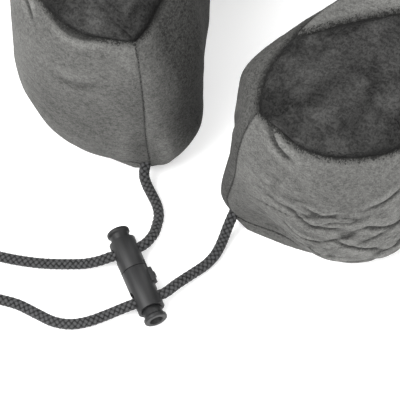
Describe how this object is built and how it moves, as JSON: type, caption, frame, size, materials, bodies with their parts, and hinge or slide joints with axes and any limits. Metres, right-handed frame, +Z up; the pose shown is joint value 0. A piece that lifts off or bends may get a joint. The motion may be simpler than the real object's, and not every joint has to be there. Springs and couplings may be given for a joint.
{
  "type": "u shaped neck pillow",
  "caption": "U-shaped contoured travel neck pillow with a zipped velour cover over foam and cords joined by a two-part cord lock.",
  "frame": {"origin": "on the ground plane, under the middle of the pillow's own box", "axes": "+X to the wearer's right arm lobe seen from the open front, +Y to the back of the neck, +Z up; the open front faces -Y"},
  "size_m": [0.2808, 0.3388, 0.1191],
  "materials": {
    "velour_light": "short-pile velour, light grey",
    "velour_dark": "short-pile velour, dark grey, pile brushed the other way",
    "liner": "thin white knit liner",
    "foam": "open-cell memory foam",
    "zip_tape": "woven black tape",
    "zip_teeth": "black nylon coil",
    "zip_metal": "gunmetal",
    "cord": "braided charcoal cord",
    "lock_plastic": "matte charcoal",
    "spring_steel": "spring wire"
  },
  "bodies": {
    "pillow": {"foam_core": "foam", "foam_liner": "liner", "cover_outer_wall": "velour_light", "cover_inner_wall": "velour_light", "cover_left_lobe_top": "velour_dark", "cover_right_lobe_top": "velour_dark", "cover_neck_top": "velour_light", "cover_base": "velour_light", "zip_tape_upper": "zip_tape", "zip_tape_lower": "zip_tape", "zip_chain": "zip_teeth", "zip_stop_left": "zip_metal", "zip_stop_right": "zip_metal", "left_cord": "cord", "right_cord": "cord"},
    "upper_lock": {"upper_lock_barrel": "lock_plastic", "upper_lock_spring": "spring_steel", "left_cord_knot": "cord"},
    "lower_lock": {"lower_lock_barrel": "lock_plastic", "lower_lock_spring": "spring_steel", "right_cord_knot": "cord"},
    "upper_plunger": {"upper_lock_plunger": "lock_plastic"},
    "lower_plunger": {"lower_lock_plunger": "lock_plastic"},
    "latch": {"release_latch": "lock_plastic"},
    "slider": {"zip_slider": "zip_metal"},
    "pull": {"zip_pull": "zip_metal"}
  },
  "joints": [
    {"name": "upper_lock_release", "type": "slide", "parent": "pillow", "child": "upper_lock", "axis": [-0.7547, 0.6561, 0], "range_m": [0, 0.014], "deforming": ["left_cord"]},
    {"name": "lower_lock_release", "type": "slide", "parent": "pillow", "child": "lower_lock", "axis": [0.7547, -0.6561, 0], "range_m": [0, 0.014], "deforming": ["right_cord"]},
    {"name": "upper_plunger_press", "type": "slide", "parent": "upper_lock", "child": "upper_plunger", "axis": [0.7547, -0.6561, 0], "range_m": [0, 0.0024], "stiffness_N_per_m": 400, "springref_m": -0.004, "deforming": ["upper_lock_spring"]},
    {"name": "lower_plunger_press", "type": "slide", "parent": "lower_lock", "child": "lower_plunger", "axis": [-0.7547, 0.6561, 0], "range_m": [0, 0.0024], "stiffness_N_per_m": 400, "springref_m": -0.004, "deforming": ["lower_lock_spring"]},
    {"name": "latch_press", "type": "hinge", "parent": "upper_lock", "child": "latch", "pos_m": [-0.00129, -0.15712, 0.00794], "axis": [0.1364, 0.1569, -0.9781], "range_deg": [0, 4.5], "stiffness_Nm_per_rad": 0.05, "springref_deg": -2.86},
    {"name": "zip_slide", "type": "hinge", "parent": "pillow", "child": "slider", "pos_m": [0, -0.02513, 0.0291], "axis": [0, 0, 1], "range_deg": [0, 40.4]},
    {"name": "zip_pull_swing", "type": "hinge", "parent": "slider", "child": "pull", "pos_m": [0.05351, 0.12014, 0.0291], "axis": [0.9384, -0.3457, 0], "range_deg": [0, 150]}
  ]
}
